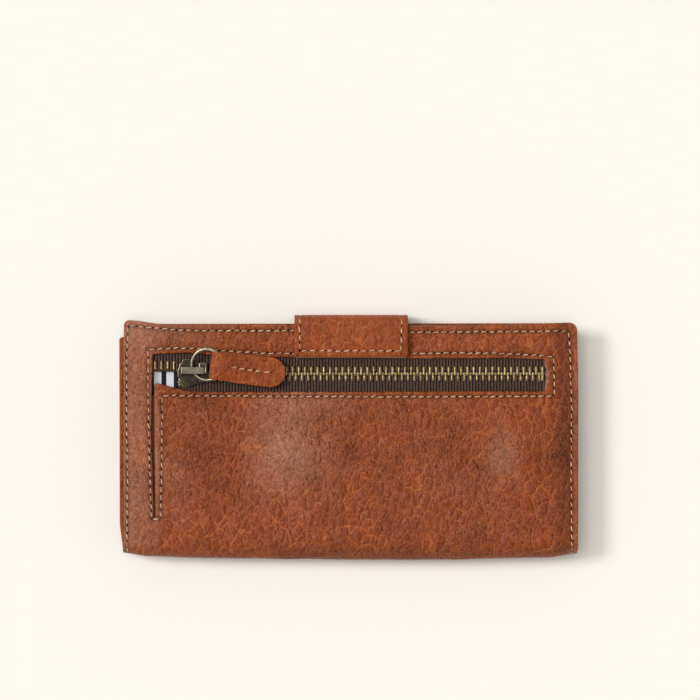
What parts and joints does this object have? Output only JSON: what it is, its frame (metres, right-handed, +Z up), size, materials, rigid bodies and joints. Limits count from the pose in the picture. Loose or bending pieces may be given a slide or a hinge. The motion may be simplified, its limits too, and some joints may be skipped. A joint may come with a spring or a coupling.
{
  "type": "long wallet",
  "caption": "Long folding wallet that opens about its long edge, with an outside zip pocket, card slots, note pockets and a closing strap with a press stud.",
  "frame": {"origin": "middle of the bounding box, on the surface the wallet lies on", "axes": "+X along the zip and the spine, +Y from the spine to the opening edge with the strap, +Z up through the zip side"},
  "size_m": [0.1906, 0.1, 0.0268],
  "materials": {
    "cover_leather": "pebbled pull-up leather, satin",
    "inner_leather": "smooth leather, matte",
    "lining_fabric": "plain woven, matte",
    "pocket_fabric": "striped woven, matte",
    "board": "bonded leather stiffener, matte",
    "zip_tape": "ribbed woven tape, matte",
    "zip_metal": "antique brass, satin",
    "slider_metal": "antique bronze, satin",
    "snap_metal": "antique brass, satin"
  },
  "bodies": {
    "front_half": {"front_cover_leather": "cover_leather", "front_board": "board", "strap_anchor": "cover_leather", "front_lining": "lining_fabric", "front_bill_panel": "inner_leather", "front_slot_left_1": "inner_leather", "front_slot_left_2": "inner_leather", "front_slot_left_3": "inner_leather", "front_slot_left_4": "inner_leather", "front_slot_right_1": "inner_leather", "front_slot_right_2": "inner_leather", "front_slot_right_3": "inner_leather", "front_slot_right_4": "inner_leather"},
    "spine": {"spine_leather": "cover_leather", "spine_lining": "lining_fabric"},
    "back_half": {"back_cover_leather": "cover_leather", "slit_edge_binding": "cover_leather", "zip_tape_upper": "zip_tape", "zip_tape_lower": "zip_tape", "zip_teeth_upper": "zip_metal", "zip_teeth_lower": "zip_metal", "zip_end_stop_upper": "zip_metal", "zip_end_stop_lower": "zip_metal", "zip_bottom_stop": "zip_metal", "pocket_lining_front": "pocket_fabric", "pocket_lining_back": "pocket_fabric", "back_board": "board", "back_lining": "lining_fabric", "back_bill_panel": "inner_leather", "back_slot_left_1": "inner_leather", "back_slot_left_2": "inner_leather", "back_slot_right_1": "inner_leather", "back_slot_right_2": "inner_leather", "snap_stud": "snap_metal", "snap_backing": "snap_metal"},
    "strap": {"strap_outer_leather": "cover_leather", "strap_lining": "inner_leather"},
    "tab": {"tab_outer_leather": "cover_leather", "tab_lining": "inner_leather", "snap_socket": "snap_metal"},
    "slider": {"slider_body": "slider_metal", "slider_crown": "slider_metal"},
    "pull_ring": {"pull_ring": "slider_metal"},
    "puller": {"puller_leather": "cover_leather"}
  },
  "joints": [
    {"name": "spine_lower_fold", "type": "hinge", "parent": "front_half", "child": "spine", "pos_m": [0, -0.04893, 0.00107], "axis": [1, 0, 0], "range_deg": [0, 90], "deforming": ["tab_outer_leather", "tab_lining", "snap_socket"]},
    {"name": "spine_upper_fold", "type": "hinge", "parent": "spine", "child": "back_half", "pos_m": [0, -0.04893, 0.01893], "axis": [1, 0, 0], "range_deg": [0, 90]},
    {"name": "strap_fold", "type": "hinge", "parent": "front_half", "child": "strap", "pos_m": [0.0007, 0.04815, 0.0023], "axis": [-1, 0, 0], "range_deg": [0, 80]},
    {"name": "tab_lift", "type": "hinge", "parent": "strap", "child": "tab", "pos_m": [0.0007, 0.05, 0.0213], "axis": [-1, 0, 0], "range_deg": [0, 90]},
    {"name": "zip_slide", "type": "slide", "parent": "back_half", "child": "slider", "axis": [1, 0, 0], "range_m": [0, 0.136]},
    {"name": "ring_swing", "type": "hinge", "parent": "slider", "child": "pull_ring", "pos_m": [-0.065, 0.0268, 0.02137], "axis": [0.4099, -0.9121, 0], "range_deg": [0, 150]},
    {"name": "puller_swing", "type": "hinge", "parent": "pull_ring", "child": "puller", "pos_m": [-0.0539, 0.0288, 0.024], "axis": [-0.1236, -0.9885, -0.087], "range_deg": [0, 15]}
  ],
  "couplings": [
    {"joint": "spine_upper_fold", "follows": "spine_lower_fold", "ratio": 1}
  ]
}
